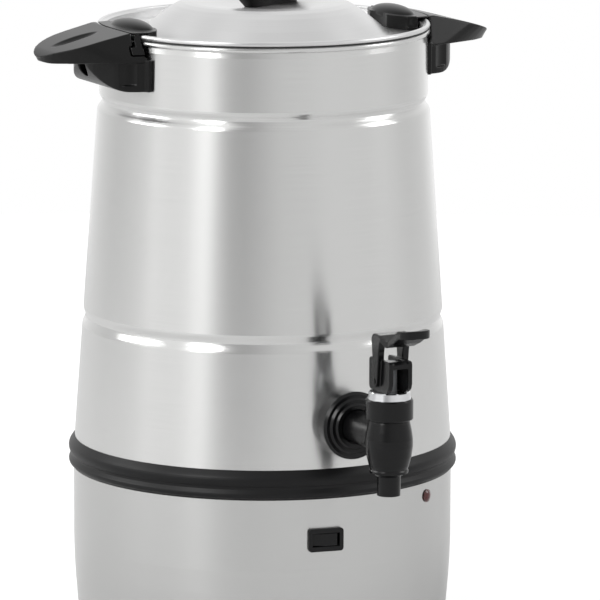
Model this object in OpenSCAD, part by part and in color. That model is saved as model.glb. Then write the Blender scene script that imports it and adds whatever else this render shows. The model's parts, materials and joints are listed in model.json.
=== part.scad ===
// Hot water urn: a tapered metal tank on a skirted heater base, with a twist-and-lift lid,
// two side handles and a self-closing lever tap. Millimetres, +Z up, origin on the urn's
// axis at the surface that it stands on. The tap points to -Y and the handles lie on the X axis.

/* [Base] */
// Radius of the base skirt
base_r = 116; // [114:0.5:118]
// Height of the rubber feet
foot_h = 10; // [8:0.5:12]
// Height of the skirt's top, where the tank sits
skirt_top = 111.5; // [110:0.5:113]
// Thickness of the skirt's sheet
skirt_t = 1.5; // [1.2:0.1:2]

/* [Tank] */
// Height of the tank's rolled rim
rim_z = 371.5; // [368:0.5:375]
// Outer radius of the rolled rims of the tank and the lid
rim_r = 101.2; // [100:0.1:102]
// Thickness of the tank's sheet
tank_t = 1.2; // [1:0.1:1.5]
// Height of the lower rolled groove
groove_low_z = 195; // [185:1:205]
// Depth of the lower rolled groove
groove_low_d = 1.6; // [1:0.1:2.2]
// Height of the upper rolled groove
groove_top_z = 327.3; // [320:0.5:332]
// Depth of the upper rolled groove
groove_top_d = 2.4; // [1.5:0.1:3]

/* [Trim band] */
// Lowest height of the band round the joint of tank and base
band_z = 102; // [101:0.5:103]
// Height of the band
band_h = 18; // [17:0.5:19]
// Outer radius of the band's two beads
band_r = 119.1; // [118.5:0.1:120]

/* [Lid] */
// Height of the flat flange that is sunk inside the rim
lid_floor_z = 368.4; // [367:0.1:369]
// Radius of the dome's foot
dome_foot_r = 77; // [75:0.5:79]
// Height of the lid's crown
crown_z = 387.6; // [386:0.1:390]

/* [Handles] */
// Distance from the axis to the straight seam between a handle and its lid wing
seam_r = 102; // [101.8:0.1:103]
// Height of the paddle's top at the seam
paddle_z = 376.6; // [376:0.2:378]
// Distance from the axis to a handle's tip
handle_tip_r = 152; // [148:1:158]
// Half width of the paddle
paddle_w = 27; // [24:0.5:29]

/* [Tap] */
// Distance from the axis to the tap's barrel
tap_y = 170; // [166:1:174]
// Height of the tap's inlet
tap_z = 147; // [144:0.5:150]
// Height of the lever's pin
pin_z = 182.5; // [181:0.5:184]
// Lift of the valve for each radian that the lever turns
cam_k = 7.6; // [6:0.1:8.5]

/* [Electrics] */
// Angle of the rocker switch round the axis, in degrees from +X
switch_a = 263; // [255:1:264]
// Height of the rocker switch
switch_z = 77; // [70:1:82]
// Angle of the indicator lamp round the axis, in degrees from +X
lamp_a = 303; // [295:1:310]
// Height of the indicator lamp
lamp_z = 93.5; // [85:0.5:95]
// Height of the appliance inlet at the back
inlet_z = 45; // [40:1:60]

/* [Hidden] */
$fn = 64;

eps = 0.01;
run = 0.05;                          // radial clearance of a running fit

// Tank profile. The wall leans in by wall_lean for each millimetre of height.
tank_floor = skirt_top;              // underside of the tank's bottom
floor_corner = 6;                    // radius of the corner between bottom and wall
wall_lean = 0.0703;
wall_ref_z = 320.9;
wall_ref_r = 101.4;
groove_half = 5.5;                   // half the height of a groove
neck_r = 100.1;                      // wall radius just above the upper groove
neck_top_r = 99.6;
bead = 1.5;                          // radius of the rolled rims
bead_mid = rim_r - bead;
seal_t = 0.8;
band_top = band_z + band_h;

// Lid
lid_t = 1;
lid_wall_r = 97.6;                   // outside of the sunk wall, inside the tank's mouth
lid_bead_z = rim_z + seal_t;
knob_z = 385.6;                      // flat of the crown under the knob

// Handles
handle_low = 341.5;
handle_under = 359.3;                // underside of the paddle
bowl_reach = 122;
bowl_half = 36;
slope_a = 12.5;                      // slope of the paddle's top
handle_screw_z = 353.8;
handle_screw_r = 2.5;
slot_floor = 363.2;                  // floor of the slot that takes the wing's hook
wing_half = 25;
hook_a0 = 16.6;                      // the wing's hook lies between these angles
hook_a1 = 20.8;

// Tap
shank_r = 9.25;
chamber_r = 8;
seat_z = 133;
spout_z = 113.4;
bonnet_z = 159.2;
bonnet_top = 171.6;
ring_top = 176;
stem_r = 4.5;
pin_r = 1.5;
cam_gap = 0.12;
cam_h = pin_z - ring_top - cam_gap;  // height of the pin above the cam's rest face
spring_low = 142.6;
spring_top = 169.4;
spring_r = 6.4;
spring_wire = 0.45;
spring_turns = 7;

// Base
heater_z = 106.5;
heater_r = 70;
shield_z = 84;
plate_z = foot_h + 0.5;
plate_t = 1.5;
foot_ring = 88;
screw_ring = 100.8;

function arc(cx, cy, r, a0, a1, n) = [for (i = [0:n]) let (a = a0 + (a1 - a0) * i / n)
  [cx + r * cos(a), cy + r * sin(a)]];
function reversed(l) = [for (i = [len(l) - 1:-1:0]) l[i]];
function wall_r(z) = wall_ref_r + (wall_ref_z - z) * wall_lean;
// A groove's depth at height z is a raised cosine about its middle zc
function dip(z, zc, d) = abs(z - zc) >= groove_half ? 0 : d * (1 + cos(180 * (z - zc) / groove_half)) / 2;
function blend_r(z) = let (z0 = groove_top_z - groove_half, z1 = groove_top_z + groove_half)
  wall_r(z0) + (neck_r - wall_r(z0)) * (z - z0) / (z1 - z0);
// The tank's wall from the bottom corner up to under the rim, moved in by off
function tank_wall(off) = concat(
  [[wall_r(groove_low_z - groove_half) + (groove_low_z - groove_half - 119) * wall_lean - off, 119]],
  [for (i = [0:10]) let (z = groove_low_z + groove_half * (i / 5 - 1)) [wall_r(z) - dip(z, groove_low_z,
    groove_low_d) - off, z]],
  [for (i = [0:10]) let (z = groove_top_z + groove_half * (i / 5 - 1)) [blend_r(z) - dip(z, groove_top_z,
    groove_top_d) - off, z]],
  [[neck_top_r - off, rim_z - 2 * bead - 3.5]]);
corner_r = wall_r(119) - floor_corner;

// Puts a shape drawn round the origin, facing -Y, on the base or tank wall at angle a
module at_wall(a, r, z) { rotate([0, 0, a + 90]) translate([0, -r, z]) children(); }
module ring(r_out, r_in, h) { difference() { cylinder(r = r_out, h = h); translate([0, 0, -1])
  cylinder(r = r_in, h = h + 2); } }
module revolve(pts) { rotate_extrude($fn = 128) polygon(pts); }
module sector(r_in, r_out, a0, a1, z0, z1) {
  rotate([0, 0, a0]) translate([0, 0, z0]) rotate_extrude(angle = a1 - a0, $fn = 128)
    translate([r_in, 0]) square([r_out - r_in, z1 - z0]);
}

// ---------------------------------------------------------------- tank and base

module tank_outside() {
  revolve(concat([[0, tank_floor], [corner_r, tank_floor]],
    arc(corner_r, tank_floor + floor_corner, floor_corner, -90, 0, 6),
    tank_wall(0), [[neck_top_r, rim_z + 40], [0, rim_z + 40]]));
}
module tank() color([0.78, 0.78, 0.79]) difference() {
  union() {
    revolve(concat([[0, tank_floor], [corner_r, tank_floor]],
      arc(corner_r, tank_floor + floor_corner, floor_corner, -80, 0, 6), tank_wall(0),
      [[bead_mid + bead * cos(240), rim_z - bead + bead * sin(240)], [bead_mid - bead, rim_z - bead]],
      reversed(tank_wall(tank_t)),
      arc(corner_r, tank_floor + floor_corner, floor_corner - tank_t, 0, -90, 6),
      [[0, tank_floor + tank_t]]));
    // the rolled rim, with a flat on top for the seal
    revolve(concat(arc(bead_mid, rim_z - bead, bead, -240, 60, 16),
      [[bead_mid + 0.75, rim_z - 0.1], [bead_mid - 0.75, rim_z - 0.1]]));
  }
  translate([0, -100, tap_z]) rotate([90, 0, 0]) cylinder(r = shank_r + 0.2, h = 30);
  for (s = [-1, 1]) translate([s * 90, 0, handle_screw_z]) rotate([0, s * 90, 0])
    cylinder(r = handle_screw_r + 0.2, h = 20);
}

skirt_line = concat([[107, foot_h]], arc(105.6, foot_h + 8, 8.1, -80, -6, 8),
  [[114.9, 32], [115.6, 44], [base_r, 58], [base_r, skirt_top]]);
module base_shell() color([0.78, 0.78, 0.79]) difference() {
  revolve(concat(skirt_line, [[100, skirt_top], [100, skirt_top - skirt_t],
    [base_r - skirt_t, skirt_top - skirt_t], [base_r - skirt_t, 58], [115.6 - skirt_t, 44],
    [114.9 - skirt_t, 32]], arc(105.6, foot_h + 8, 6.5, -6, -55, 6),
    [[97, 13.5], [97, 12], [105.2, 12], [105.2, foot_h]]));
  at_wall(switch_a, base_r - 6, switch_z) translate([-9.6, -8, -5.8]) cube([19.2, 16, 11.6]);
  at_wall(lamp_a, base_r - 6, lamp_z) rotate([90, 0, 0]) cylinder(r = 3.2, h = 12);
  at_wall(90, base_r - 6, inlet_z) translate([-13.1, -8, -9.1]) cube([26.2, 16, 18.2]);
  for (i = [0:2]) rotate([0, 0, 30 + 120 * i]) translate([screw_ring, 0, 11]) cylinder(r = 2.05, h = 4);
}

// Two beads with a shallow groove between them, over the joint of tank and base
module trim_band() color([0.05, 0.05, 0.05]) revolve(concat(
  [[base_r, skirt_top + 0.6], [base_r, band_z], [base_r + 0.9, band_z]],
  arc(band_r - 2.6, band_z + 3.4, 2.6, -60, 35, 6), [[base_r + 1.9, band_z + 6.6]],
  arc(band_r - 6, band_z + 11.6, 6, -36, 38, 8), [[base_r - 0.1, band_top],
    [wall_r(band_top) + 0.02, band_top], [wall_r(band_top - 1.2) + 0.02, band_top - 1.2],
    [base_r - 0.3, band_top - 1.8], [base_r - 0.3, skirt_top + 0.6]]));

module base_plate() color([0.35, 0.35, 0.36]) difference() {
  union() {
    translate([0, 0, plate_z]) cylinder(r = 104.6, h = plate_t);
    translate([0, 0, plate_z + plate_t - eps]) ring(60, 57, 1.5);
  }
  translate([0, 0, plate_z - 1]) cylinder(r = 2.7, h = 6);
  for (i = [0:3]) rotate([0, 0, 45 + 90 * i]) translate([foot_ring, 0, 0]) cylinder(r = 3.1, h = 20);
  for (i = [0:2]) rotate([0, 0, 30 + 120 * i]) translate([screw_ring, 0, 0]) cylinder(r = 2.05, h = 20);
  for (i = [0:11]) rotate([0, 0, 15 + 30 * i]) translate([36, -1.5, 0]) cube([16, 3, 20]);
}
module base_screws() color([0.6, 0.6, 0.6])
  for (i = [0:2]) rotate([0, 0, 30 + 120 * i]) translate([screw_ring, 0, plate_z]) {
    difference() {
      translate([0, 0, -2]) cylinder(r = 3.4, h = 2);
      translate([-2, -0.4, -3]) cube([4, 0.8, 1.8]);
      translate([-0.4, -2, -3]) cube([0.8, 4, 1.8]);
    }
    translate([0, 0, -eps]) cylinder(r = 1.95, h = 7);
  }
module foot(i) color([0.06, 0.06, 0.06]) rotate([0, 0, 45 + 90 * i]) translate([foot_ring, 0, 0])
  rotate_extrude() polygon([[0, 0], [8, 0], [8.6, 0.8], [9.8, plate_z], [3.05, plate_z],
    [3.05, plate_z + plate_t + 0.1], [4.2, plate_z + plate_t + 0.1], [2.6, plate_z + plate_t + 2.4],
    [0, plate_z + plate_t + 2.4]]);

// ---------------------------------------------------------------- heater

module heater_plate() color([0.7, 0.7, 0.72]) difference() {
  translate([0, 0, heater_z]) cylinder(r = heater_r, h = skirt_top - heater_z);
  translate([0, 0, heater_z - 1]) ring(42, 30, 1.8);
}
element_r = 54;
element_tube = 3.9;
module heating_element() color([0.5, 0.48, 0.45]) translate([0, 0, heater_z - element_tube]) {
  rotate([0, 0, 110]) rotate_extrude(angle = 320) translate([element_r, 0]) circle(r = element_tube);
  for (a = [110, 430]) rotate([0, 0, a]) translate([element_r, 0, 0]) {
    sphere(r = element_tube);
    translate([0, 0, -9]) cylinder(r = element_tube, h = 9);
    translate([0, 0, -14]) cylinder(r = 1.2, h = 6);
  }
}
// Bimetal disc switch under the heater plate, with two blade terminals
module disc_switch(x, y, r) translate([x, y, 0]) {
  translate([0, 0, heater_z - 1]) cylinder(r = r + 1.5, h = 1);
  translate([0, 0, heater_z - 9]) cylinder(r = r, h = 8 + eps);
  for (s = [-1, 1]) translate([s * 4 - 0.4, -3, heater_z - 15]) cube([0.8, 6, 7]);
}
module thermostat() color([0.85, 0.82, 0.7]) disc_switch(21, 0, 8);
module thermal_cutout() color([0.3, 0.25, 0.2]) disc_switch(-21, 0, 6.5);

module tie_stud() color([0.6, 0.6, 0.6]) translate([0, 0, 6]) cylinder(r = 2.5, h = heater_z - 6);
module stud_spacer() color([0.6, 0.6, 0.6]) translate([0, 0, shield_z + 1]) ring(5, 2.6, heater_z - shield_z - 1);
module heat_shield() color([0.7, 0.7, 0.7]) difference() {
  revolve([[0, shield_z], [84, shield_z], [90, shield_z + 6], [90, shield_z + 10], [89, shield_z + 10],
    [89, shield_z + 6.4], [83.6, shield_z + 1], [0, shield_z + 1]]);
  translate([0, 0, shield_z - 1]) cylinder(r = 2.6, h = 3);
  for (a = [20, 160, 270]) rotate([0, 0, a]) translate([30, 0, shield_z - 1]) cylinder(r = 5, h = 3);
}
module nut(af, r, h) difference() {
  cylinder(r = af / sqrt(3), h = h, $fn = 6);
  translate([0, 0, -1]) cylinder(r = r, h = h + 2);
}
module shield_nut() color([0.6, 0.6, 0.6]) translate([0, 0, shield_z - 4]) nut(8, 2.5, 4);
module base_nut() color([0.6, 0.6, 0.6]) {
  translate([0, 0, plate_z - 5]) nut(8, 2.5, 4);
  translate([0, 0, plate_z - 1 - eps]) ring(6, 2.5, 1);
}

// ---------------------------------------------------------------- electrics

// Appliance inlet: a flanged socket with an open mouth and three pins
inlet_w = 24;
inlet_h = 16;
inlet_in = 17;                       // depth of the socket's mouth
module inlet_outline(w, h, c) {
  polygon([[-w / 2, -h / 2], [w / 2, -h / 2], [w / 2, h / 2 - c], [w / 2 - c, h / 2],
    [-w / 2 + c, h / 2], [-w / 2, h / 2 - c]]);
}
module power_inlet() color([0.06, 0.06, 0.06]) at_wall(90, base_r, inlet_z) rotate([90, 0, 0]) difference() {
  union() {
    translate([0, 0, -20]) linear_extrude(20) square([inlet_w + 2, inlet_h + 2], center = true);
    translate([0, 0, 0.1]) linear_extrude(2.4) offset(r = 2) square([30, 22], center = true);
    translate([0, 0, -0.2]) linear_extrude(0.5) square([inlet_w + 2, inlet_h + 2], center = true);
  }
  translate([0, 0, 2.6 - inlet_in]) linear_extrude(inlet_in) inlet_outline(inlet_w - 2, inlet_h - 2, 4);
  for (x = [-7, 0, 7]) translate([x - 1, -2, -21]) cube([2, 4, 10]);
}
module inlet_pins() color([0.8, 0.7, 0.45]) at_wall(90, base_r, inlet_z) rotate([90, 0, 0])
  for (x = [-7, 0, 7]) translate([x - 1, -2, -24]) cube([2, 4, 22]);

// A round lead swept along chosen points, with a ring of eight corners at each
function unit(v) = v / norm(v);
function bend(p, i) = unit(p[min(i + 1, len(p) - 1)] - p[max(i - 1, 0)]);
function smooth(p, n) = [for (i = [0:len(p) - 2]) for (k = [0:n - 1]) let (t = k / n,
  a = p[max(i - 1, 0)], b = p[i], c = p[i + 1], d = p[min(i + 2, len(p) - 1)])
  0.5 * (2 * b + (c - a) * t + (2 * a - 5 * b + 4 * c - d) * t * t + (3 * b - a - 3 * c + d) * t * t * t),
  p[len(p) - 1]];
module lead(points, r) {
  p = smooth(points, 3);
  n = len(p);
  rings = [for (i = [0:n - 1]) let (t = bend(p, i), s = unit(cross(t, abs(t[2]) > 0.9 ? [1, 0, 0] :
    [0, 0, 1])), u = cross(s, t)) for (k = [0:7]) p[i] + r * (cos(45 * k) * s + sin(45 * k) * u)];
  polyhedron(points = rings, faces = concat([[for (k = [0:7]) k]],
    [for (i = [0:n - 2]) for (k = [0:7]) let (m = (k + 1) % 8) [i * 8 + k, (i + 1) * 8 + k, i * 8 + m]],
    [for (i = [0:n - 2]) for (k = [0:7]) let (m = (k + 1) % 8) [i * 8 + m, (i + 1) * 8 + k,
      (i + 1) * 8 + m]], [[for (k = [7:-1:0]) (n - 1) * 8 + k]]));
}
lead_r = 1.3;
terminal_z = heater_z - 15;          // lower end of the disc switches' blades
post_z = heater_z - element_tube - 14;
post_x = element_r * cos(70);
post_y = element_r * sin(70);
live_points = [[7, 91.9, 45], [7, 84, 45], [16, 60, 46], [24, 25, 54], [26, -20, 62], [12, -60, 71],
  [-5.8, -88, 77], [-6.5, -94, 77], [-7.1, -98.9, 77]];
switched_points = [[-17, -97.7, 77], [-16.4, -92.7, 77], [-15.7, -86.7, 77], [-8, -60, 74], [-2, -40, 74],
  [0, -30, 80], [1, -27, 86], [10, -14, 88], [17, -3, 88], [17, 0, terminal_z]];
neutral_points = [[-7, 91.9, 45], [-7, 84, 45], [-16, 60, 50], [-27, 30, 62], [-28.2, 12, 74],
  [-28.2, 10.3, 84], [-26, 6, 88], [-25, 1, 89], [-25, 0, terminal_z]];
earth_points = [[0, 91.9, 45], [0, 80, 45], [6, 60, 52], [24, 30, 66], [28.2, 12, 76], [28.2, 10.3, 84],
  [30, 14, 92], [35, 21, 98], [38, 26, 102], [38, 26, heater_z]];
link_right = [[25, 0, terminal_z], [24.5, 2, 88.4], [20, 14, 87.6], [17, 32, 87.6], [17.6, 41, 88.6], [18, 45, 90.2],
  [post_x - 0.1, post_y - 3, post_z + 2], [post_x - 0.04, post_y - 1.17, post_z + 2]];
link_left = [[-17, 0, terminal_z], [-17, 2, 88.4], [-16, 14, 87.6], [-16, 32, 87.6], [-17.6, 41, 88.6], [-18, 45, 90.2],
  [0.1 - post_x, post_y - 3, post_z + 2], [0.04 - post_x, post_y - 1.17, post_z + 2]];
module live_lead() color([0.45, 0.25, 0.12]) lead(live_points, lead_r);
module switched_lead() color([0.1, 0.1, 0.1]) lead(switched_points, lead_r);
module neutral_lead() color([0.15, 0.3, 0.6]) lead(neutral_points, lead_r);
module earth_lead() color([0.3, 0.6, 0.2]) lead(earth_points, lead_r);
// The two short links from the disc switches to the element's posts
module element_links() color([0.9, 0.9, 0.85]) {
  lead(link_right, lead_r);
  lead(link_left, lead_r);
}

// Rocker switch: the rocker turns on two trunnions about a vertical axis
switch_w = 22;
switch_h = 14;
rocker_w = 15.6;
rocker_h = 7.6;
trunnion_r = 1.2;
rocker_in = 4.6;                     // distance from the skirt to the rocker's axis, inward
rocker_a = 8;
module switch_bezel() color([0.06, 0.06, 0.06]) at_wall(switch_a, base_r, switch_z) rotate([90, 0, 0])
  difference() {
    union() {
      translate([0, 0, 0.1]) linear_extrude(1.7) offset(r = 2) square([switch_w - 4, switch_h - 4], center = true);
      translate([0, 0, -19]) linear_extrude(19.3) square([19, 11.4], center = true);
    }
    translate([0, 0, -12]) linear_extrude(20) square([17.2, 8.2], center = true);
    translate([0, -4.9, -rocker_in]) rotate([-90, 0, 0]) cylinder(r = trunnion_r + run, h = 9.8, $fn = 32);
    for (x = [-5, 5]) translate([x - 1.5, -1.5, -20]) cube([3, 3, 4]);
  }
module switch_rocker() color([0.03, 0.03, 0.03]) at_wall(switch_a, base_r - rocker_in, switch_z)
  rotate([0, 0, -rocker_a]) {
    translate([0, 0, -rocker_h / 2]) linear_extrude(rocker_h) polygon(concat([[-rocker_w / 2, -5.2],
      [0, -6.4], [rocker_w / 2, -5.2], [rocker_w / 2 - 0.4, -3]], arc(0, 0, 3.4, 0, 180, 12),
      [[-rocker_w / 2 + 0.4, -3]]));
    translate([0, 0, -rocker_h / 2 - 0.9]) cylinder(r = trunnion_r, h = rocker_h + 1.8, $fn = 32);
  }
module indicator_lens() color([0.25, 0.02, 0.01]) at_wall(lamp_a, base_r, lamp_z) rotate([90, 0, 0])
  rotate_extrude() polygon(concat([[0, -12], [2.9, -12], [2.9, 0.15], [3.9, 0.15], [3.9, 0.7]],
    arc(0, -3.1, 5.2, 47, 90, 8)));
module lens_clip() color([0.5, 0.5, 0.5]) at_wall(lamp_a, base_r - skirt_t - 2.3, lamp_z) rotate([90, 0, 0])
  ring(6, 2.95, 2);

// ---------------------------------------------------------------- handles

// Everything about a handle or wing is drawn on the +X side: x out, y round to the left of it
paddle_in = 76;                      // the paddle is drawn from here and cut back to the seam
paddle_root = 37;                    // half width of the paddle's underside, at the tank
seam_gap = 0.4;
function bow(x0, x1, w, p, n) = [for (i = [0:n]) let (t = sin(90 * i / n)) [x0 + (x1 - x0) * t,
  w * pow(1 - pow(t, p), 1 / p)]];
function both_sides(l) = concat([for (i = [len(l) - 1:-1:0]) [l[i][0], -l[i][1]]], l);
module paddle_top() {
  polygon(concat([[paddle_in, -paddle_w - 4], [98, -paddle_w + 1.5], [112, -paddle_w]],
    [for (i = [0:18]) let (a = -90 + 10 * i) [124 + (handle_tip_r - 124) * cos(a),
    paddle_w * sin(a) * (1 - 0.06 * pow(cos(a), 2))]],
    [[112, paddle_w], [98, paddle_w - 1.5], [paddle_in, paddle_w + 4]]));
}
module paddle_bottom() polygon(concat([[paddle_in, -paddle_root - 3]],
  both_sides(bow(94, handle_tip_r - 3, paddle_root, 1.6, 16)), [[paddle_in, paddle_root + 3]]));
module paddle() intersection() {
  hull() {
    translate([0, 0, handle_under]) linear_extrude(eps) paddle_bottom();
    translate([seam_r, 0, paddle_z]) rotate([0, slope_a, 0]) translate([-seam_r, 0, -eps])
      linear_extrude(eps) paddle_top();
  }
  rotate([90, 0, 0]) linear_extrude(100, center = true) polygon(concat([[paddle_in, paddle_z],
    [paddle_in, handle_under - 1], [132, handle_under]], arc(handle_tip_r - 4.4, 364.2, 4.3, -85, 70, 8),
    [[146, paddle_z - (146 - seam_r) * tan(slope_a) + 0.3], [seam_r, paddle_z]]));
}
// Deep hollow below the paddle, against the tank, drawn as the plan cut by the side view
bowl_round = 17.8;
module bowl() intersection() {
  translate([0, 0, handle_low]) linear_extrude(slot_floor - handle_low) polygon(
    both_sides(bow(90, bowl_reach, bowl_half, 2.2, 14)));
  rotate([90, 0, 0]) linear_extrude(100, center = true) polygon(concat([[89, 366], [89, handle_low]],
    arc(bowl_reach - bowl_round, handle_low + bowl_round, bowl_round, -90, 0, 10), [[bowl_reach, 366]]));
}
recess_at = 126;
recess_drop = 2.4;                   // depth of the thumb recess
recess_r = 50;
module thumb_recess() {
  // a ring standing in the upright plane of the handle; where it dips into the top it cuts a lens
  translate([recess_at, 0, paddle_z - (recess_at - seam_r) * tan(slope_a)]) rotate([0, slope_a, 0])
    translate([0, 0, recess_r - recess_drop]) rotate([90, 0, 0])
    rotate_extrude($fn = 96) translate([recess_r - 7, 0]) circle(r = 7, $fn = 32);
}
slot_a0 = 15.4;                      // the slot for the wing's leg starts here
pocket_a0 = 12.6;                    // the pocket for its foot reaches further, under the paddle
module handle() difference() {
  union() {
    paddle();
    bowl();
    // flange that lies against the tank
    sector(98, 102.6, -22.3, 22.3, handle_low, 361);
  }
  thumb_recess();
  // pocket from the tip's side of the bowl to the screw
  translate([105.5, 0, handle_screw_z]) rotate([0, 90, 0]) cylinder(r = 5.3, h = 30);
  translate([90, 0, handle_screw_z]) rotate([0, 90, 0]) cylinder(r = handle_screw_r + 0.2, h = 30);
  // shallow flutes on the bowl's sides
  for (s = [-1, 1]) translate([111, s * 43.5, handle_low + 4]) cylinder(r = 14, h = handle_under - handle_low - 4);
  // the seam is an arc where the lid's wing turns past it and straight on the other half
  translate([0, 0, slot_floor]) cylinder(r = seam_r + seam_gap, h = 60, $fn = 128);
  translate([80, 0, slot_floor]) cube([seam_r + seam_gap - 80, 60, 60]);
  // the slot that takes the wing's hook: open upward and towards +Y
  sector(95, 106.4, slot_a0, 30, slot_floor, paddle_z + 10);
  sector(95, 109.2, pocket_a0, 30, slot_floor, 368.9);
  tank_outside();
  translate([0, 0, 361]) cylinder(r = rim_r + 0.5, h = 60);
}
module handle_right() color([0.07, 0.07, 0.07]) handle();
module handle_left() color([0.07, 0.07, 0.07]) rotate([0, 0, 180]) handle();
module handle_screws() color([0.6, 0.6, 0.6]) for (a = [0, 180]) rotate([0, 0, a])
  translate([0, 0, handle_screw_z]) rotate([0, 90, 0]) difference() {
    union() {
      translate([0, 0, 91]) cylinder(r = handle_screw_r, h = 14.6);
      translate([0, 0, 105.5]) cylinder(r = 4.5, h = 3);
    }
    translate([-3, -0.5, 107.4]) cube([6, 1, 2]);
    translate([-0.5, -3, 107.4]) cube([1, 6, 2]);
  }
module handle_washers() color([0.8, 0.3, 0.2]) for (a = [0, 180]) rotate([0, 0, a]) difference() {
  translate([97, 0, handle_screw_z]) rotate([0, 90, 0]) ring(7, handle_screw_r, 3);
  rotate_extrude($fn = 360) polygon([[neck_r - tank_t, 333], [neck_top_r - tank_t, 365], [130, 365],
    [130, 333]]);
}
module handle_nuts() color([0.75, 0.75, 0.75]) for (a = [0, 180]) rotate([0, 0, a])
  translate([0, 0, handle_screw_z]) rotate([0, 90, 0]) difference() {
    union() {
      translate([0, 0, 92.6]) cylinder(r = 8 / sqrt(3), h = 4.4, $fn = 6);
      translate([0, 0, 90]) cylinder(r = 3.6, h = 3);
    }
    translate([0, 0, 91]) cylinder(r = handle_screw_r, h = 10);
  }

// ---------------------------------------------------------------- tap

rosette_y = 119.5;
module tap_rosette() color([0.04, 0.04, 0.04]) difference() {
  translate([0, -rosette_y - 3, tap_z]) rotate([-90, 0, 0]) rotate_extrude() polygon([[10.6, 0], [13, 0],
    [14, 1.2], [16, 1.2], [17.2, 2.6], [19, 2.8], [20.5, 4.4], [20.5, 16], [13.6, 16], [13.6, 3], [10.6, 3]]);
  tank_outside();
}
module tap_outer_seal() color([0.5, 0.5, 0.5]) difference() {
  translate([0, -rosette_y, tap_z]) rotate([-90, 0, 0]) ring(13.4, shank_r, 10);
  tank_outside();
}
module tap_inner_seal() color([0.5, 0.5, 0.5]) difference() {
  translate([0, -113.5, tap_z]) rotate([-90, 0, 0]) ring(14, shank_r, 4.5);
  difference() {
    translate([0, 0, tap_z - 20]) cylinder(r = 140, h = 40);
    revolve([[0, 119], [wall_r(119) - tank_t, 119], [wall_r(180) - tank_t, 180], [0, 180]]);
  }
}
module tap_nut() color([0.9, 0.9, 0.88]) translate([0, -104, tap_z]) rotate([90, 0, 0]) nut(26, shank_r, 5);

barrel_line = [[6.9, spout_z], [7.1, 125], [9.6, 126.6], [11.4, 127.2], [11.6, 128.6], [11.1, 129.4],
  [11.9, 131.5], [13.2, 136.5], [14.1, 143], [14.1, 147.5], [13.4, 152.5], [12.3, 157.5], [11.8, bonnet_z]];
module tap_body() color([0.04, 0.04, 0.04]) difference() {
  union() {
    translate([0, -tap_y, 0]) rotate_extrude() polygon(concat([[0, spout_z]], barrel_line,
      [[11.2, bonnet_z], [11.2, 166], [0, 166]]));
    translate([0, -tap_y, tap_z]) rotate([-90, 0, 0]) cylinder(r = shank_r, h = tap_y - 101);
    translate([0, -tap_y + 12, tap_z]) rotate([-90, 0, 0]) cylinder(r1 = shank_r, r2 = 10.4,
      h = tap_y - 12 - rosette_y);
  }
  translate([0, -tap_y, seat_z]) cylinder(r = chamber_r, h = 40);
  translate([0, -tap_y, spout_z - 1]) cylinder(r = 4.6, h = 30);
  translate([0, -tap_y, spout_z - 1]) cylinder(r = 5.6, h = 12);
  translate([0, -tap_y, tap_z]) rotate([-90, 0, 0]) cylinder(r = 5.5, h = 100);
}
module tap_bonnet() color([0.04, 0.04, 0.04]) translate([0, -tap_y, 0]) rotate_extrude() polygon([
  [11.2, bonnet_z], [13.7, bonnet_z], [14.2, bonnet_z + 0.6], [14.2, bonnet_top - 1], [13.4, bonnet_top],
  [stem_r + run, bonnet_top], [stem_r + run, spring_top + 0.1], [chamber_r, spring_top + 0.1],
  [chamber_r, 166], [11.2, 166]]);
module tap_ring() color([0.85, 0.85, 0.87]) translate([0, -tap_y, 0]) rotate_extrude() polygon([
  [stem_r + 0.4, bonnet_top], [12.9, bonnet_top], [12.6, 173], [12.3, ring_top - 0.5],
  [11.8, ring_top], [stem_r + 0.4, ring_top]]);
// One unbroken coil round the stem, with 8 rings of 6 corners for each turn
coil_n = spring_turns * 8;
function coil_z(i) = spring_low + spring_wire + (spring_top - spring_low - 2 * spring_wire) * i / coil_n;
function coil_mid(i) = [spring_r * cos(45 * i), spring_r * sin(45 * i) - tap_y, coil_z(i)];
module tap_spring() color([0.7, 0.7, 0.7]) {
  rings = [for (i = [0:coil_n]) for (k = [0:5]) coil_mid(i) + spring_wire *
    [cos(60 * k) * cos(45 * i), cos(60 * k) * sin(45 * i), sin(60 * k)]];
  polyhedron(points = rings, faces = concat([[for (k = [5:-1:0]) k]],
    [for (i = [0:coil_n - 1]) for (k = [0:5]) let (m = (k + 1) % 6) [i * 6 + k, i * 6 + m, (i + 1) * 6 + k]],
    [for (i = [0:coil_n - 1]) for (k = [0:5]) let (m = (k + 1) % 6) [i * 6 + m, (i + 1) * 6 + m,
      (i + 1) * 6 + k]], [[for (k = [0:5]) coil_n * 6 + k]]));
}
echo(spring_gap = (coil_z(8) - coil_z(0)) - 2 * spring_wire);
module tap_seat_cup() color([0.85, 0.85, 0.85]) translate([0, -tap_y, 0]) rotate_extrude() polygon([
  [0, seat_z - 1.4], [3.2, seat_z - 1.4], [4.3, seat_z + 0.1], [6.6, seat_z + 0.1], [7.4, seat_z + 1],
  [7.7, 140.4], [7.2, 140.9], [2.6, 140.9], [2.6, 136], [0, 136]]);
module tap_stem() color([0.62, 0.63, 0.64]) difference() {
  translate([0, -tap_y, 0]) rotate_extrude() polygon([[0, 136.1], [2.5, 136.1], [2.5, 141], [7.3, 141],
    [7.3, 142.4], [stem_r, 142.4], [stem_r, 192.8], [stem_r - 1, 193.8], [0, 193.8]]);
  translate([-10, -tap_y, pin_z]) rotate([0, 90, 0]) cylinder(r = pin_r, h = 20, $fn = 32);
}
cheek_in = stem_r + 0.35;
cheek_out = 7.6;
arm_in = 6;
arm_out = 10.2;
module tap_pin() color([0.05, 0.05, 0.05]) translate([-arm_out - 0.4, -tap_y, pin_z]) rotate([0, 90, 0])
  cylinder(r = pin_r, h = 2 * arm_out + 0.8, $fn = 32);

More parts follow.
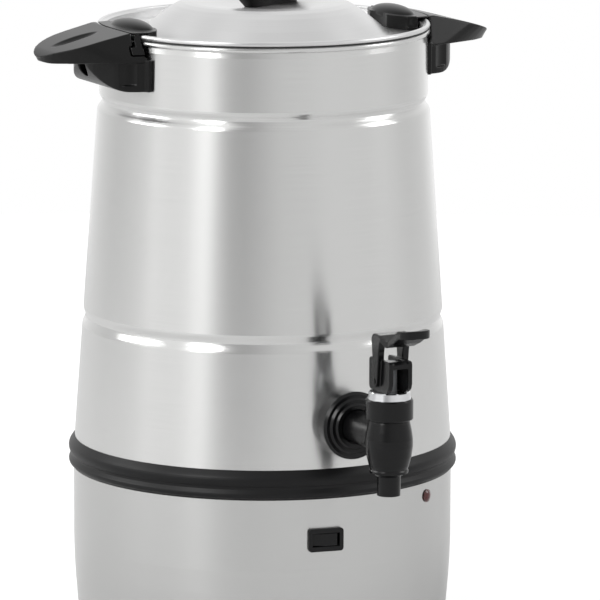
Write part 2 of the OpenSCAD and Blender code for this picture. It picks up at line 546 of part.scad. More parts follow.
// The cheeks' lower edge is an involute, so the lift grows by cam_k for each radian of the lever.
// The profile is drawn with x forward of the pin and y above it.
function cam(a) = let (t = a * PI / 180, h = cam_h + cam_k * t)
  [h * sin(a) + cam_k * cos(a), -h * cos(a) + cam_k * sin(a)];
cheek_line = concat([[-9, -cam_h]], [for (a = [0:4:32]) cam(a)], [[13.9, -3.4], [14.6, -0.8],
  [14.6, 9.6]], arc(12.6, 11, 2, 0, 90, 4), arc(-9.8, 11, 2, 90, 180, 4), arc(-8.8, -cam_h + 3, 3, 180, 260, 4));
plate_line = concat(arc(0.5, 24, 4.6, 180, 100, 6), [[6, 28.2], [16, 28.4], [25, 31.2], [34, 35.2]],
  arc(45.6, 34, 2.3, 60, -100, 8), [[36, 31.4], [26, 27.6], [16, 24.9], [4, 24.6]]);
module lever_side(x0, x1) translate([x1, -tap_y, pin_z]) rotate([0, 0, -90]) rotate([90, 0, 0])
  linear_extrude(x1 - x0) children();
module tap_lever() color([0.04, 0.04, 0.04]) difference() {
  union() {
    for (x = [-cheek_out, cheek_in]) lever_side(x, x + cheek_out - cheek_in) polygon(cheek_line);
    // the frame across the front, above the stem's travel
    lever_side(-cheek_out, cheek_out) polygon([[10.6, 8.6], [14.6, 8.6], [14.6, 11], [13, 13], [10.6, 13]]);
    // arms from the pin up to the finger plate
    for (x = [-arm_out, arm_in]) lever_side(x, x + arm_out - arm_in) polygon(concat(
      arc(0, 0, 3.4, 200, 340, 6), [[4.4, 10], [5.2, 18], [7, 24.8], [2, 27.6], [-2.4, 27], [-4, 24],
      [-2.6, 14]]));
    intersection() {
      lever_side(-10.2, 10.2) polygon(plate_line);
      translate([0, -tap_y, 0]) linear_extrude(400) polygon(concat([[-10.2, 6], [-10.2, -8], [-9.2, -18],
        [-9.4, -30]], arc(0, -37.6, 9.6, 172, 368, 14), [[9.4, -30], [9.2, -18], [10.2, -8], [10.2, 6]]));
    }
  }
  translate([-20, -tap_y, pin_z]) rotate([0, 90, 0]) cylinder(r = pin_r + run, h = 40, $fn = 32);
  // the finger dish
  translate([0, -tap_y - 38, pin_z + 35.4 + 22.6]) rotate([0, 90, 0]) rotate_extrude() translate([4, 0])
    circle(r = 20);
}

// ---------------------------------------------------------------- lid

module lid_seal() color([0.25, 0.25, 0.25]) translate([0, 0, rim_z - 0.1 + eps]) ring(bead_mid + 0.9,
  bead_mid - 0.9, seal_t + 0.2 - 2 * eps);
crown_line = [[dome_foot_r + 2, lid_floor_z], [dome_foot_r - 0.6, lid_floor_z + 0.5], [74.2, 370.2],
  [66.5, 376.6], [57.9, 383], [53.6, 385.7], [49.6, 387.2], [45, crown_z], [38, 387], [26, knob_z + 0.2],
  [24, knob_z]];
module lid_shell() color([0.8, 0.8, 0.81]) difference() {
  union() {
    revolve(concat([[0, knob_z]], reversed(crown_line), [[lid_wall_r - lid_t - 1, lid_floor_z],
      [lid_wall_r - lid_t, lid_floor_z + 1], [lid_wall_r - lid_t, lid_bead_z + 1],
      [bead_mid - 0.4, lid_bead_z + 2.6], [bead_mid - 0.4, lid_bead_z + 1.4], [lid_wall_r, lid_bead_z + 0.6],
      [lid_wall_r, lid_floor_z + 0.2], [lid_wall_r - 1.2, lid_floor_z - lid_t]],
      [for (p = crown_line) [p[0] - (p[1] > 369 && p[1] < 386 ? 0.65 : 0), p[1] - lid_t]],
      [[0, knob_z - lid_t]]));
    revolve(concat(arc(bead_mid, lid_bead_z + bead - 0.1, bead, -60, 240, 16),
      [[bead_mid - 0.75, lid_bead_z + 0.1], [bead_mid + 0.75, lid_bead_z + 0.1]]));
  }
  translate([0, 0, knob_z - 5]) cylinder(r = 2.2, h = 10);
  for (s = [0, 180]) rotate([0, 0, s]) for (y = [-14, 14]) translate([84, y, lid_floor_z - 3])
    cylinder(r = 1.7, h = 6);
}
knob_turn = 34;
module knob_slice(z, l, w, r) translate([0, 0, z]) linear_extrude(0.1) offset(r = r)
  square([l - 2 * r, w - 2 * r], center = true);
module lid_knob() color([0.03, 0.03, 0.03]) rotate([0, 0, knob_turn]) difference() {
  hull() {
    knob_slice(knob_z, 46, 23.5, 6);
    knob_slice(knob_z + 9, 58, 30, 9);
    knob_slice(knob_z + 19, 60, 32, 11);
    knob_slice(knob_z + 25, 50, 26, 10);
    knob_slice(knob_z + 27, 36, 16, 7);
  }
  translate([0, 0, knob_z - 1]) cylinder(r = 1.9, h = 14);
}
module knob_screw() color([0.7, 0.7, 0.7]) {
  translate([0, 0, knob_z - lid_t - 1 - eps]) cylinder(r = 1.85, h = 13);
  translate([0, 0, knob_z - lid_t - 3.4]) cylinder(r = 3.8, h = 2.4);
}
module knob_washer() color([0.75, 0.75, 0.75]) translate([0, 0, knob_z - lid_t - 1]) ring(7, 1.9, 1);

// A wing is fixed on the lid's flange; its hook passes outside the rim into the handle's slot
module wing_plan() {
  intersection() {
    translate([seam_r - 2, 0]) scale([23, 36]) circle(r = 1, $fn = 96);
    union() {
      translate([60, -eps]) square([seam_r - seam_gap - 60, 60]);
      intersection() {
        circle(r = seam_r - seam_gap, $fn = 128);
        translate([60, -60]) square([60, 60]);
      }
    }
  }
}
wing_under = lid_bead_z + 3.4;       // the wing passes over the lid's rolled rim here
module wing() difference() {
  union() {
    intersection() {
      union() {
        sector(79, lid_wall_r - lid_t - 1.2, -17.5, 17.5, lid_floor_z, paddle_z);
        sector(94, seam_r + 3, -20.6, hook_a0 + 1, wing_under, paddle_z);
      }
      translate([0, 0, 300]) linear_extrude(200) wing_plan();
      paddle();
    }
    intersection() {
      translate([88, 0, paddle_z - 1]) scale([9.4, 23, 5.6]) sphere(r = 1, $fn = 36);
      translate([60, -30, paddle_z - 1.5]) cube([60, 60, 20]);
    }
    // the hook, flush with the side of the handle
    intersection() {
      union() {
        sector(94, 101.4, 13.4, hook_a1, wing_under, paddle_z);
        sector(101, 105.4, hook_a0, hook_a1, wing_under, paddle_z);
        sector(rim_r + 0.5, 105.4, hook_a0, hook_a1, slot_floor + 0.5, paddle_z);
        sector(105, 108.4, pocket_a0 + 1, hook_a1, slot_floor + 0.5, 368.3);
      }
      paddle();
    }
  }
  for (y = [-14, 14]) translate([84, y, lid_floor_z - 1]) cylinder(r = 1.4, h = 7);
}
module lid_wing_right() color([0.06, 0.06, 0.06]) wing();
module lid_wing_left() color([0.06, 0.06, 0.06]) rotate([0, 0, 180]) wing();
module wing_screws() color([0.7, 0.7, 0.7]) for (s = [0, 180]) rotate([0, 0, s]) for (y = [-14, 14])
  translate([84, y, lid_floor_z - lid_t]) {
    cylinder(r = 1.4, h = 6.5);
    translate([0, 0, -1.6]) cylinder(r = 2.9, h = 1.6);
  }

tank();
base_shell();
trim_band();
base_plate();
base_screws();
foot(0);  // foot_1
foot(1);  // foot_2
foot(2);  // foot_3
foot(3);  // foot_4
heater_plate();
heating_element();
thermostat();
thermal_cutout();
tie_stud();
stud_spacer();
heat_shield();
shield_nut();
base_nut();
power_inlet();
inlet_pins();
live_lead();
switched_lead();
neutral_lead();
earth_lead();
element_links();
switch_bezel();
switch_rocker();
indicator_lens();
lens_clip();
handle_left();
handle_right();
handle_screws();
handle_washers();
handle_nuts();
tap_rosette();
tap_body();
tap_outer_seal();
tap_inner_seal();
tap_nut();
tap_bonnet();
tap_ring();
tap_spring();
tap_seat_cup();
tap_stem();
tap_pin();
tap_lever();
lid_seal();
lid_shell();
lid_knob();
knob_screw();
knob_washer();
lid_wing_left();
lid_wing_right();
wing_screws();
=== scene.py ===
"""Looks of the hot water urn: camera, light, finishes, and the moulded pieces with softened edges.

Metres, in the row frame: +Z up, the tap points to -Y, the handles lie on the X axis.
"""

import json
import math

import bmesh
import bpy
from mathutils import Matrix, Vector


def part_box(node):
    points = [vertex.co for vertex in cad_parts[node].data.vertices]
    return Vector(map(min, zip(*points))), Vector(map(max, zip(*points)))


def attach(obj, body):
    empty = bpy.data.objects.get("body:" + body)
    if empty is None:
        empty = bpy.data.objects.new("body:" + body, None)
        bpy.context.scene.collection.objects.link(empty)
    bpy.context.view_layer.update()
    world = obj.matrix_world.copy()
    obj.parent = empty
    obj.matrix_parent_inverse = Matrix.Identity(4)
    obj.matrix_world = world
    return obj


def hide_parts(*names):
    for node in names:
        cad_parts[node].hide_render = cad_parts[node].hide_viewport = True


MM = 0.001

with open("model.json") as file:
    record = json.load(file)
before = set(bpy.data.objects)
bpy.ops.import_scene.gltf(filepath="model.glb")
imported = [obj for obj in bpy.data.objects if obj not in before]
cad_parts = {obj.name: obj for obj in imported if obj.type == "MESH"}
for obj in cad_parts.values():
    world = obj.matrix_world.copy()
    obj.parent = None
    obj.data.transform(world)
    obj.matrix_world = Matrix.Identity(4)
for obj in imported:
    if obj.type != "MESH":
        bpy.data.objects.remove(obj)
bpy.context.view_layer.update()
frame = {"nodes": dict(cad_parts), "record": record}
nodes = frame["nodes"]


# ------------------------------------------------------------------ camera and studio

# Where the photographer stood: a long lens, a little above the rim, to the left of the tap
CAMERA_AT = (-1.5435, -3.1646, 0.8231)
CAMERA_TILT = math.radians(80.013)
CAMERA_TURN = math.radians(-26.37)
CAMERA_ROLL = 0.0042
CAMERA_LENS = 350.0
CAMERA_SENSOR = 36.0

FLOOR_R = 1.6
FLOOR_GREY = (0.72, 0.72, 0.72, 1)  # what the urn is lit by
FLOOR_SEEN = (0.45, 0.45, 0.45, 1)  # what the camera sees: it takes the shadow
FLOOR_LIFT = 0.66  # and this lifts it to near white

# Each lamp's name, place, size and watts
LAMPS = (
    ("window", (-2.65, -1.18, 2.0), (0.8, 1.6), 36),
    ("fill", (2.4, -1.0, 1.6), (1.2, 1.2), 14),
    ("back_left", (-2.3, 1.2, 1.5), (1.4, 1.0), 22),
)
LAMP_AIM = Vector((0, 0, 0.2))

# Brightness of the studio round the urn, by the angle from the camera, positive to its right.
# A tall soft window stands to the left of the camera, and the room behind the camera is darker.
STUDIO = (
    (-180, 1.05),
    (-150, 0.88),
    (-120, 0.70),
    (-95, 0.68),
    (-86, 0.74),
    (-76, 0.96),
    (-66, 0.97),
    (-54, 0.98),
    (-46, 1.02),
    (-38, 1.02),
    (-30, 0.64),
    (-22, 0.47),
    (-13, 0.45),
    (-5, 0.53),
    (3, 0.62),
    (11, 0.71),
    (28, 0.76),
    (45, 0.82),
    (62, 0.81),
    (80, 0.76),
    (115, 0.72),
    (135, 0.78),
    (160, 1.00),
    (180, 1.05),
)
STUDIO_MAX = 1.2


def make_camera():
    data = bpy.data.cameras.new("camera")
    data.sensor_width = CAMERA_SENSOR
    data.lens = CAMERA_LENS
    data.clip_end = 50
    camera = bpy.data.objects.new("camera", data)
    camera.matrix_world = (
        Matrix.Translation(CAMERA_AT)
        @ Matrix.Rotation(CAMERA_TURN, 4, "Z")
        @ Matrix.Rotation(CAMERA_TILT, 4, "X")
        @ Matrix.Rotation(CAMERA_ROLL, 4, "Z")
    )
    bpy.context.scene.collection.objects.link(camera)
    bpy.context.scene.camera = camera


def add(tree, kind, inputs=None, **settings):
    """Adds a node. An input is a plain value or another node's output."""
    made = tree.nodes.new(kind)
    for name, value in settings.items():
        setattr(made, name, value)
    for socket, value in (inputs or {}).items():
        if isinstance(value, bpy.types.NodeSocket):
            tree.links.new(value, made.inputs[socket])
        else:
            made.inputs[socket].default_value = value
    return made


def colour(code):
    """Linear RGBA of a colour written as six sRGB digits."""
    parts = [int(code[i : i + 2], 16) / 255 for i in (0, 2, 4)]
    return (*[c / 12.92 if c <= 0.04045 else ((c + 0.055) / 1.055) ** 2.4 for c in parts], 1)


def make_world():
    world = bpy.data.worlds.new("studio")
    bpy.context.scene.world = world
    world.use_nodes = True
    tree = world.node_tree
    tree.nodes.clear()
    to_camera = Vector((CAMERA_AT[0], CAMERA_AT[1], 0)).normalized()
    to_right = Vector((-to_camera.y, to_camera.x, 0))
    way = add(tree, "ShaderNodeTexCoord").outputs["Generated"]
    across = add(tree, "ShaderNodeVectorMath", {0: way, 1: to_right}, operation="DOT_PRODUCT")
    along = add(tree, "ShaderNodeVectorMath", {0: way, 1: to_camera}, operation="DOT_PRODUCT")
    angle = add(tree, "ShaderNodeMath", {0: across.outputs["Value"], 1: along.outputs["Value"]},
                operation="ARCTAN2")
    place = add(tree, "ShaderNodeMath", {0: angle.outputs[0], 1: 1 / math.tau, 2: 0.5},
                operation="MULTIPLY_ADD")
    wall = add(tree, "ShaderNodeValToRGB", {"Fac": place.outputs[0]})
    ramp = wall.color_ramp
    ramp.interpolation = "LINEAR"
    while len(ramp.elements) < len(STUDIO):
        ramp.elements.new(0.5)
    for stop, (degrees, level) in zip(ramp.elements, STUDIO):
        stop.position = degrees / 360 + 0.5
        stop.color = (level / STUDIO_MAX,) * 3 + (1,)
    lit = add(tree, "ShaderNodeBackground", {"Color": wall.outputs["Color"], "Strength": STUDIO_MAX})
    seen = add(tree, "ShaderNodeBackground", {"Color": (1, 1, 1, 1), "Strength": 1.0})
    ray = add(tree, "ShaderNodeLightPath")
    both = add(tree, "ShaderNodeMixShader",
               {0: ray.outputs["Is Camera Ray"], 1: lit.outputs[0], 2: seen.outputs[0]})
    add(tree, "ShaderNodeOutputWorld", {"Surface": both.outputs[0]})


def make_floor():
    """A pale floor that keeps the urn's shadow and stays near white for the camera."""
    mesh = bpy.data.meshes.new("floor")
    shape = bmesh.new()
    bmesh.ops.create_circle(shape, cap_ends=True, segments=96, radius=FLOOR_R)
    shape.to_mesh(mesh)
    shape.free()
    floor = bpy.data.objects.new("floor", mesh)
    floor.data.materials.append(pale_floor())
    bpy.context.scene.collection.objects.link(floor)


def pale_floor():
    material = bpy.data.materials.new("pale_floor")
    material.use_nodes = True
    tree = material.node_tree
    tree.nodes.clear()
    matt = add(tree, "ShaderNodeBsdfDiffuse", {"Color": FLOOR_GREY})
    half = add(tree, "ShaderNodeBsdfDiffuse", {"Color": FLOOR_SEEN})
    lift = add(tree, "ShaderNodeEmission", {"Color": (1, 1, 1, 1), "Strength": FLOOR_LIFT})
    seen = add(tree, "ShaderNodeAddShader", {0: half.outputs[0], 1: lift.outputs[0]})
    ray = add(tree, "ShaderNodeLightPath")
    both = add(tree, "ShaderNodeMixShader",
               {0: ray.outputs["Is Camera Ray"], 1: matt.outputs[0], 2: seen.outputs[0]})
    add(tree, "ShaderNodeOutputMaterial", {"Surface": both.outputs[0]})
    return material


def make_lamp(name, at, size, watts):
    data = bpy.data.lights.new(name, "AREA")
    data.shape = "RECTANGLE"
    data.size, data.size_y = size
    data.energy = watts
    lamp = bpy.data.objects.new(name, data)
    lamp.location = at
    lamp.rotation_euler = (LAMP_AIM - Vector(at)).to_track_quat("-Z", "Y").to_euler()
    bpy.context.scene.collection.objects.link(lamp)


# ------------------------------------------------------------------ finishes

# The brushed steel's scratches, drawn coarser than the real ones of about 0.05 mm, so that they show
SCRATCH_HEIGHT = 0.3 * MM
SCRATCHES_PER_RADIAN = 2.5
RING_WIDTH = 0.4 * MM

def start(name, base, rough, metal=0.0, **sockets):
    """A material with its shader. Returns the material, its tree and the shader."""
    material = bpy.data.materials.new(name)
    material.use_nodes = True
    tree = material.node_tree
    tree.nodes.clear()
    shader = add(tree, "ShaderNodeBsdfPrincipled",
                 {"Base Color": colour(base), "Roughness": rough, "Metallic": metal})
    for socket, value in sockets.items():
        shader.inputs[socket.replace("_", " ")].default_value = value
    add(tree, "ShaderNodeOutputMaterial", {"Surface": shader.outputs[0]})
    return material, tree, shader


def mottle(tree, shader, base, spread, place, scale, detail=4):
    """Lets the base colour wander by a noise about its own value."""
    noise = add(tree, "ShaderNodeTexNoise", {"Vector": place, "Scale": scale, "Detail": detail})
    dark = [c * (1 - spread) for c in colour(base)[:3]] + [1]
    light = [min(c * (1 + spread), 1) for c in colour(base)[:3]] + [1]
    ramp = add(tree, "ShaderNodeValToRGB", {"Fac": noise.outputs["Fac"]})
    ramp.color_ramp.elements[0].position = 0.3
    ramp.color_ramp.elements[1].position = 0.7
    ramp.color_ramp.elements[0].color = dark
    ramp.color_ramp.elements[1].color = light
    tree.links.new(ramp.outputs["Color"], shader.inputs["Base Color"])
    return noise


def relief(tree, shader, height, depth):
    """Raises the surface by a height signal; depth is in metres."""
    bump = add(tree, "ShaderNodeBump", {"Height": height, "Distance": depth, "Strength": 1.0})
    tree.links.new(bump.outputs["Normal"], shader.inputs["Normal"])


def brushed_round(name, base, rough):
    """Sheet steel brushed with a belt as it turns: fine scratches run round it, and lights smear upright."""
    material, tree, shader = start(name, base, rough, 1.0, Anisotropic=0.75)
    place = add(tree, "ShaderNodeTexCoord").outputs["Object"]
    parts = add(tree, "ShaderNodeSeparateXYZ", {0: place})
    turn = add(tree, "ShaderNodeMath", {0: parts.outputs["Y"], 1: parts.outputs["X"]}, operation="ARCTAN2")
    round_wall = add(tree, "ShaderNodeMath", {0: turn.outputs[0], 1: SCRATCHES_PER_RADIAN},
                     operation="MULTIPLY")
    up_wall = add(tree, "ShaderNodeMath", {0: parts.outputs["Z"], 1: 1 / SCRATCH_HEIGHT},
                  operation="MULTIPLY")
    lines = add(tree, "ShaderNodeCombineXYZ", {"X": round_wall.outputs[0], "Y": up_wall.outputs[0]})
    scratches = mottle(tree, shader, base, 0.02, lines.outputs[0], 1.0, 3)
    relief(tree, shader, scratches.outputs["Fac"], 0.0012 * MM)
    upright = add(tree, "ShaderNodeCombineXYZ", {"Z": 1.0})
    tree.links.new(upright.outputs[0], shader.inputs["Tangent"])
    return material


def spun_disc(name, base, rough):
    """Sheet steel finished while it spins: its scratches are rings, and lights smear outward."""
    material, tree, shader = start(name, base, rough, 1.0, Anisotropic=0.6)
    place = add(tree, "ShaderNodeTexCoord").outputs["Object"]
    flat = add(tree, "ShaderNodeVectorMath", {0: place, 1: (1, 1, 0)}, operation="MULTIPLY")
    reach = add(tree, "ShaderNodeVectorMath", {0: flat.outputs[0]}, operation="LENGTH")
    rings = add(tree, "ShaderNodeMath", {0: reach.outputs["Value"], 1: 1 / RING_WIDTH}, operation="MULTIPLY")
    line = add(tree, "ShaderNodeCombineXYZ", {"X": rings.outputs[0]})
    scratches = mottle(tree, shader, base, 0.03, line.outputs[0], 1.0, 2)
    relief(tree, shader, scratches.outputs["Fac"], 0.003 * MM)
    tree.links.new(flat.outputs[0], shader.inputs["Tangent"])
    return material


def bright_plating(name, base):
    """Chrome plating over turned brass: a near mirror with faint turning marks."""
    material, tree, shader = start(name, base, 0.07, 1.0)
    place = add(tree, "ShaderNodeTexCoord").outputs["Object"]
    squeezed = add(tree, "ShaderNodeMapping", {"Vector": place, "Scale": (20, 20, 3000)})
    mottle(tree, shader, base, 0.03, squeezed.outputs[0], 1.0, 2)
    return material


def plated_steel(name, base, rough=0.32):
    """Zinc or nickel on small turned and pressed steel parts: satin, and cloudy from the bath."""
    material, tree, shader = start(name, base, rough, 1.0)
    place = add(tree, "ShaderNodeTexCoord").outputs["Object"]
    mottle(tree, shader, base, 0.12, place, 260)
    return material


def spark_texture(name, base, rough, grain, depth):
    """Phenolic or nylon from a spark-eroded mould: an even fine grain that breaks up the gloss."""
    material, tree, shader = start(name, base, rough, IOR=1.34)
    place = add(tree, "ShaderNodeTexCoord").outputs["Object"]
    mottle(tree, shader, base, 0.10, place, 70)
    pits = add(tree, "ShaderNodeTexNoise", {"Vector": place, "Scale": 1 / grain, "Detail": 2})
    relief(tree, shader, pits.outputs["Fac"], depth)
    return material


def polished_moulding(name, base, rough):
    """Plastic from a polished mould: smooth, with slow waves from shrinkage."""
    material, tree, shader = start(name, base, rough, IOR=1.36)
    place = add(tree, "ShaderNodeTexCoord").outputs["Object"]
    mottle(tree, shader, base, 0.08, place, 50)
    waves = add(tree, "ShaderNodeTexNoise", {"Vector": place, "Scale": 160, "Detail": 1})
    relief(tree, shader, waves.outputs["Fac"], 0.02 * MM)
    return material


def soft_rubber(name, base):
    """Pressed rubber or silicone: dull, with a slight bloom."""
    material, tree, shader = start(name, base, 0.62)
    place = add(tree, "ShaderNodeTexCoord").outputs["Object"]
    mottle(tree, shader, base, 0.18, place, 120)
    skin = add(tree, "ShaderNodeTexNoise", {"Vector": place, "Scale": 2500, "Detail": 2})
    relief(tree, shader, skin.outputs["Fac"], 0.02 * MM)
    return material


def lamp_lens(name, base):
    """Dark red moulded polycarbonate in front of a lamp that is off."""
    material, tree, shader = start(name, base, 0.12, Coat_Weight=0.4)
    place = add(tree, "ShaderNodeTexCoord").outputs["Object"]
    mottle(tree, shader, base, 0.2, place, 400)
    return material


def make_finishes():
    """One finish for each material slot of the record, and the knob's own."""
    return {
        "tank_steel": brushed_round("tank_belt_brushed_steel", "d9d9d8", 0.23),
        "base_steel": brushed_round("base_belt_brushed_steel", "cbcbca", 0.25),
        "lid_steel": spun_disc("lid_spun_satin_steel", "dcdcdc", 0.36),
        "band_black": spark_texture("band_matte_black_nylon", "0d0d0e", 0.42, 0.5 * MM, 0.01 * MM),
        "grip_black": spark_texture("grip_textured_black_phenolic", "090909", 0.3, 0.6 * MM, 0.006 * MM),
        "knob_black": spark_texture("knob_polished_black_phenolic", "050505", 0.32, 0.6 * MM, 0.004 * MM),
        "tap_black": polished_moulding("tap_black_polypropylene", "070708", 0.24),
        "chrome": bright_plating("tap_chrome_plating", "e3e4e6"),
        "stem_grey": polished_moulding("stem_grey_acetal", "8e9092", 0.35),
        "zinc_steel": plated_steel("screw_zinc_plating", "b4b4b0"),
        "grey_steel": spark_texture("plate_grey_powder_coat", "58585a", 0.55, 1.2 * MM, 0.06 * MM),
        "heater_alloy": plated_steel("heater_cast_aluminium", "c8c8ca", 0.42),
        "element_sheath": plated_steel("element_heat_tinted_sheath", "7c7670", 0.45),
        "ceramic": polished_moulding("switch_glazed_steatite", "ece7da", 0.3),
        "bakelite": polished_moulding("cutout_brown_phenolic", "4a352a", 0.35),
        "rubber_black": soft_rubber("foot_black_rubber", "1a1a1a"),
        "silicone_grey": soft_rubber("seal_grey_silicone", "a5a5a3"),
        "silicone_red": soft_rubber("washer_red_silicone", "8d2f22"),
        "nylon_white": polished_moulding("nut_white_nylon", "e6e3dc", 0.4),
        "lens_red": lamp_lens("lamp_dark_red_polycarbonate", "4a0b0a"),
        "brass": plated_steel("pin_nickel_on_brass", "cdb98a", 0.25),
        "lead_brown": soft_rubber("lead_brown_silicone", "5a3620"),
        "lead_blue": soft_rubber("lead_blue_silicone", "2f5c9c"),
        "lead_green": soft_rubber("lead_green_silicone", "3c7f3a"),
        "lead_white": soft_rubber("lead_white_braid", "dcdad3"),
        "spring_steel": plated_steel("spring_drawn_steel", "c2c2c2", 0.22),
    }


def dress_nodes(finishes):
    """Gives every carried-over node the finish of its slot."""
    for part in frame["record"]["subparts"]:
        mesh = nodes[part["node"]].data
        mesh.materials.clear()
        mesh.materials.append(finishes[part["material_slot"]])


# ------------------------------------------------------------------ moulded pieces

# Fineness of the skin that is drawn over each moulding, and how often it is smoothed
LEVER_SKIN = (0.26 * MM, 13)
MOULDINGS = {
    "handle_left": (0.42 * MM, 12),
    "handle_right": (0.42 * MM, 12),
    "lid_wing_left": (0.36 * MM, 7),
    "lid_wing_right": (0.36 * MM, 7),
    "switch_rocker": (0.2 * MM, 4),
}
SKIN_SHARE = 0.45  # of the skin's triangles that are kept

# A handle's tip: how far back it droops, by how much, and the length of its round end
TIP_LENGTH = 34 * MM
TIP_DROOP = 2.4 * MM
TIP_ROUND = 7 * MM
TIP_BLUNT = 0.04  # square of the least share of its height

# The lever's finger plate starts this far above and before its pin, and is this much shorter,
# thicker and lower than the solid's, easing in over a length
PLATE_ABOVE = 20 * MM
PLATE_BEFORE = 6 * MM
PLATE_SHARE = 0.785
PLATE_THICKER = 0.2
PLATE_LOWER = 0.8 * MM
PLATE_EASE = 8 * MM
# The dish on its top face, on the solid's measures
DISH_FROM_TIP = 11 * MM
DISH_R = 7 * MM
DISH_DEPTH = 1.2 * MM
DISH_SKIN = 1.5 * MM

# The rosette: its front rings come forward, and what is behind them gets narrower
RINGS_DEPTH = 5 * MM
RINGS_FORWARD = 6.5 * MM
REAR_R = 19 * MM
REAR_SHARE = 0.9


def slot_of(node):
    """The material slot that the record gives the node."""
    return next(p["material_slot"] for p in frame["record"]["subparts"] if p["node"] == node)


def body_of(node):
    """The moving body that the node belongs to."""
    bodies = frame["record"]["behaviour"]["bodies"]
    return next(body for body, members in bodies.items() if node in members)


def put(mesh):
    """A new object for a mesh whose place is already in it."""
    piece = bpy.data.objects.new(mesh.name, mesh)
    bpy.context.scene.collection.objects.link(piece)
    return piece


def stand_for(piece, node, finish):
    """The piece takes the node's place, on its body and in its slot."""
    piece.data.materials.clear()
    piece.data.materials.append(finish)
    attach(piece, body_of(node))
    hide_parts(node)


def middle_of(node):
    low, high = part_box(node)
    return low.lerp(high, 0.5)


def baked(piece):
    """The piece's mesh with its modifiers applied, and the modifiers gone."""
    graph = bpy.context.evaluated_depsgraph_get()
    mesh = bpy.data.meshes.new_from_object(piece.evaluated_get(graph))
    piece.modifiers.clear()
    piece.data = mesh
    return mesh


def soften(node, grain, rounds, finish, shaped=None):
    """A copy of a solid, skinned afresh with its edges melted. A function may shape the skin."""
    mesh = nodes[node].data.copy()
    mesh.name = node + "_moulding"
    piece = put(mesh)
    skin = piece.modifiers.new("skin", "REMESH")
    skin.mode = "VOXEL"
    skin.voxel_size = grain
    if shaped:
        shaped(baked(piece), node)
    melt = piece.modifiers.new("melt", "SMOOTH")
    melt.iterations = rounds
    thin = piece.modifiers.new("thin", "DECIMATE")
    thin.ratio = SKIN_SHARE
    baked(piece).shade_smooth()
    stand_for(piece, node, finish)


def round_tip(mesh, node):
    """The upper face of a handle falls away to its tip, and the tip is round from above to below."""
    low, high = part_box(node)
    reach = max(abs(low.x), abs(high.x))
    heights = [v.co.z for v in mesh.vertices if abs(v.co.x) > reach - TIP_ROUND]
    middle = (min(heights) + max(heights)) / 2
    for vertex in mesh.vertices:
        end = (abs(vertex.co.x) - (reach - TIP_ROUND)) / TIP_ROUND
        if end > 0:
            squeeze = math.sqrt(max(1 - min(end, 1) ** 2, TIP_BLUNT))
            vertex.co.z = middle + (vertex.co.z - middle) * squeeze
        out = (abs(vertex.co.x) - (reach - TIP_LENGTH)) / TIP_LENGTH
        if out > 0:
            vertex.co.z -= TIP_DROOP * out ** 2


def shape_lever(mesh, node):
    """The tap lever's finger plate is drawn back, thicker and dished on top."""
    pin = middle_of("tap_pin")
    low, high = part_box(node)
    dish = pin.y - low.y - DISH_FROM_TIP
    for vertex in mesh.vertices:
        before = pin.y - vertex.co.y - PLATE_BEFORE
        if vertex.co.z > pin.z + PLATE_ABOVE and before > 0:
            ease = min(before / PLATE_EASE, 1)
            off = math.hypot(pin.y - vertex.co.y - dish, vertex.co.x - pin.x) / DISH_R
            sunk = DISH_DEPTH * max(1 - off ** 2, 0) if vertex.co.z > high.z - DISH_SKIN else 0
            under = (high.z - vertex.co.z) * (1 + PLATE_THICKER * ease)
            vertex.co.z = high.z - under - PLATE_LOWER * ease - sunk
            vertex.co.y = pin.y - PLATE_BEFORE - before * PLATE_SHARE


def stretch_rosette(finish):
    """The tap's rosette, with its rings further out from the tank than on the solid."""
    node = "tap_rosette"
    mesh = nodes[node].data.copy()
    mesh.name = "rosette_rings"
    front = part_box(node)[0].y
    middle = middle_of(node)
    for vertex in mesh.vertices:
        across = Vector((vertex.co.x - middle.x, vertex.co.z - middle.z))
        if vertex.co.y < front + RINGS_DEPTH:
            vertex.co.y -= RINGS_FORWARD
        elif across.length > REAR_R:
            vertex.co.x = middle.x + across.x * REAR_SHARE
            vertex.co.z = middle.z + across.y * REAR_SHARE
    stand_for(put(mesh), node, finish)


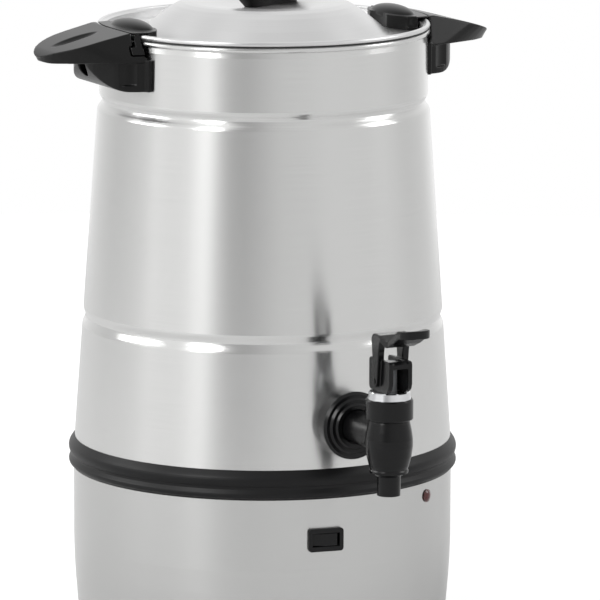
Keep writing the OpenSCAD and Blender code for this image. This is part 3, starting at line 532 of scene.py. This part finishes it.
# The knob: rounded oblong sections, each with height over its foot, length, width and corner power
KNOB_TURN = math.radians(25)
KNOB_SECTIONS = (
    (0.0, 45.0, 10.0, 3.4),
    (0.8, 46.0, 11.0, 3.4),
    (4.5, 52.5, 17.0, 3.2),
    (9.0, 57.5, 23.0, 3.0),
    (14.0, 60.0, 28.0, 2.9),
    (19.0, 60.0, 30.0, 2.8),
    (22.5, 57.0, 28.5, 2.7),
    (25.0, 50.0, 24.5, 2.6),
    (26.5, 39.0, 18.0, 2.5),
    (27.0, 22.0, 9.0, 2.3),
)
KNOB_SHIFT = Vector((3.6, -2.0, 0)) * MM
KNOB_SIDES = 64
KNOB_CREASE = math.radians(40)


def make_knob(finish):
    """The lid's grip, flared from its foot and rounded over on top."""
    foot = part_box("lid_knob")[0].z
    shape = bmesh.new()
    rings = []
    for height, length, width, power in KNOB_SECTIONS:
        ring = []
        for i in range(KNOB_SIDES):
            angle = math.tau * i / KNOB_SIDES
            c, s = math.cos(angle), math.sin(angle)
            x = length / 2 * MM * math.copysign(abs(c) ** (2 / power), c)
            y = width / 2 * MM * math.copysign(abs(s) ** (2 / power), s)
            at = KNOB_SHIFT + Matrix.Rotation(KNOB_TURN, 3, "Z") @ Vector((x, y, foot + height * MM))
            ring.append(shape.verts.new(at))
        rings.append(ring)
    for low, high in zip(rings, rings[1:]):
        for i in range(KNOB_SIDES):
            j = (i + 1) % KNOB_SIDES
            shape.faces.new((low[i], low[j], high[j], high[i]))
    shape.faces.new(reversed(rings[0]))
    shape.faces.new(rings[-1])
    mesh = bpy.data.meshes.new("knob_grip")
    shape.to_mesh(mesh)
    shape.free()
    mesh.shade_smooth()
    mesh.set_sharp_from_angle(angle=KNOB_CREASE)
    stand_for(put(mesh), "lid_knob", finish)


# ------------------------------------------------------------------ all of it

bpy.context.scene.view_settings.view_transform = "Standard"
make_camera()
make_world()
make_floor()
for lamp in LAMPS:
    make_lamp(*lamp)
finishes = make_finishes()
dress_nodes(finishes)
for node, (grain, rounds) in MOULDINGS.items():
    shaped = round_tip if node.startswith("handle") else None
    soften(node, grain, rounds, finishes[slot_of(node)], shaped)
soften("tap_lever", *LEVER_SKIN, finishes["tap_black"], shape_lever)
stretch_rosette(finishes["tap_black"])
make_knob(finishes["knob_black"])
